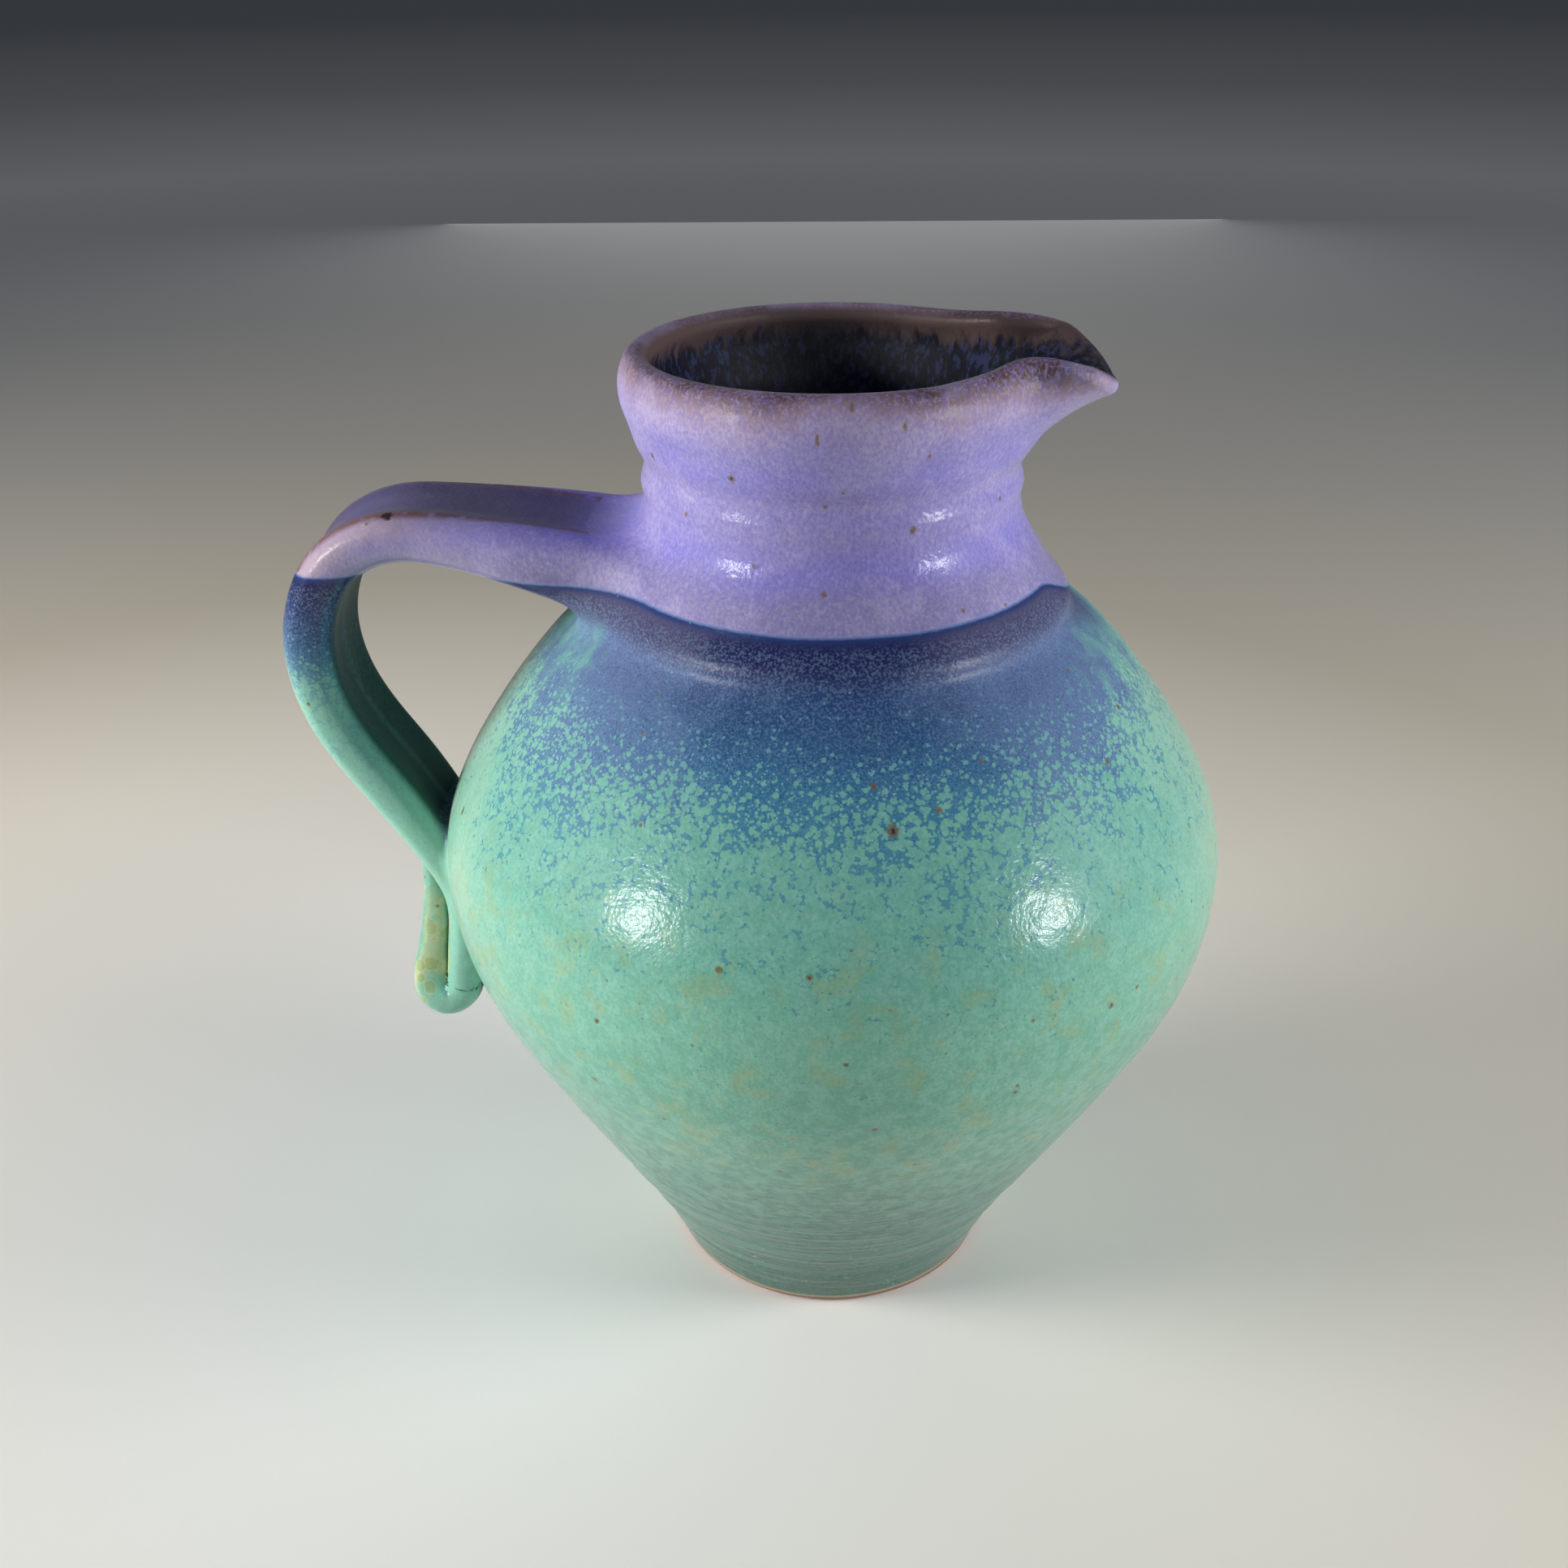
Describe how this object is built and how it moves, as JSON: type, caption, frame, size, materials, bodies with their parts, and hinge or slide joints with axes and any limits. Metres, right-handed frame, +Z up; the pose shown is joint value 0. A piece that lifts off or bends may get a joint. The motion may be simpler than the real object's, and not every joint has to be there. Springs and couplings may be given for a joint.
{
  "type": "ceramic pitcher",
  "caption": "Hand-thrown stoneware pitcher: round belly on a narrow foot, waisted collar neck with a pulled pouring spout, and a strap handle with a folded-back end.",
  "frame": {"origin": "centre of the flat underside of the foot", "axes": "+Z up along the pitcher's turning axis, +X towards the pouring spout, the handle on -X"},
  "size_m": [0.2203, 0.1878, 0.2406],
  "materials": {
    "belly_glaze": "satin-matte crystalline glaze, navy at the shoulder breaking to turquoise green, bare brown clay at the foot",
    "seam_glaze": "satin-matte glaze, pooled navy blue",
    "neck_glaze": "satin-matte mottled lavender glaze, pinkish tan at the lip, dark navy inside",
    "handle_glaze": "satin-matte glaze, lavender on top, navy at the corner, turquoise green below",
    "tail_glaze": "satin-matte green glaze with yellow-green and blue patches"
  },
  "bodies": {
    "root": {"belly": "belly_glaze", "neck_luting_coil": "seam_glaze", "neck": "neck_glaze", "handle": "handle_glaze", "handle_tail": "tail_glaze", "handle_top_coil": "neck_glaze", "handle_bottom_coil": "tail_glaze"}
  },
  "joints": []
}
